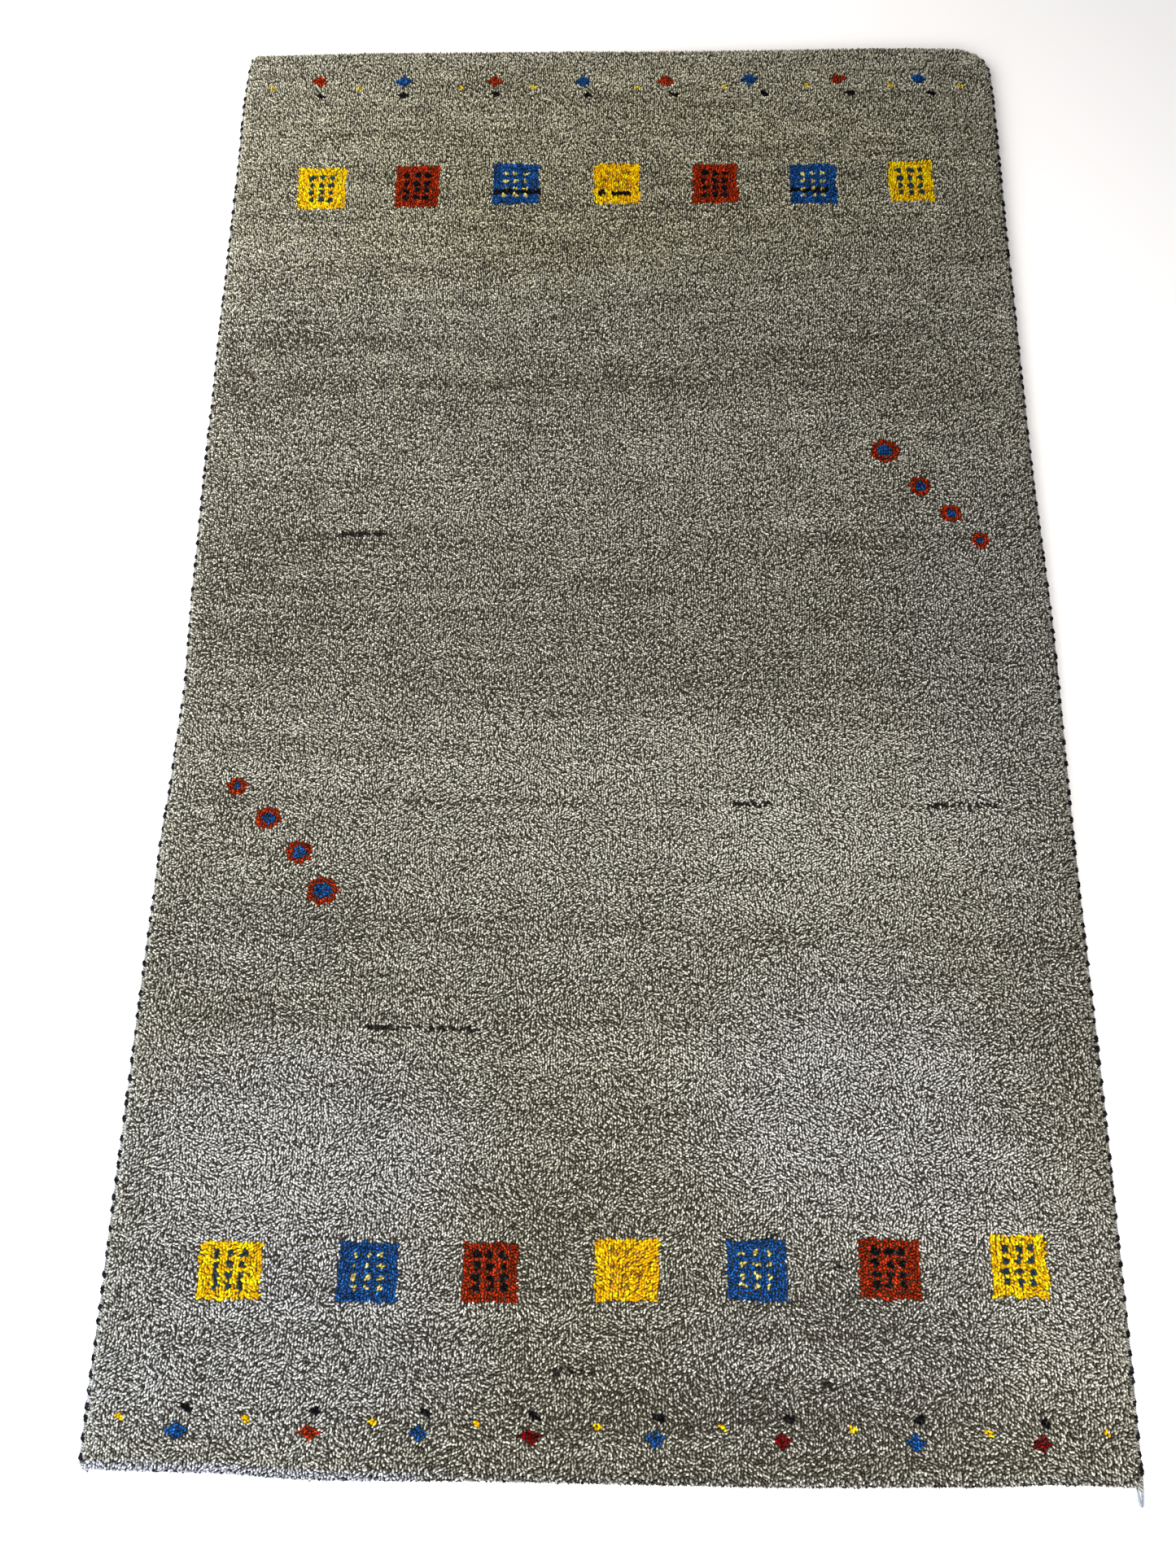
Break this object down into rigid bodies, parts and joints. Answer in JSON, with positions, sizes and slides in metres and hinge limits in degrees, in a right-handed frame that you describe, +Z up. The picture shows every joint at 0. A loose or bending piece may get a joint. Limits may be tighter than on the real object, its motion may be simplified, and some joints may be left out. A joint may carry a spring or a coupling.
{
  "type": "gabbeh rug",
  "caption": "Small hand-knotted wool rug lying flat, with a thick level pile and a cord of overcast yarn bound along each long side.",
  "frame": {"origin": "middle of the rug's footprint, on the floor under its flat underside", "axes": "+Z up out of the pile; +Y along the long sides, from the near end that has the loose yarn end to the far end; +X to the right"},
  "size_m": [0.9292, 1.6022, 0.014],
  "materials": {
    "pile": "matte cut wool pile",
    "cord": "matte overcast wool yarn"
  },
  "bodies": {
    "root": {"pile_body": "pile", "side_cord_left": "cord", "side_cord_right": "cord"}
  },
  "joints": []
}
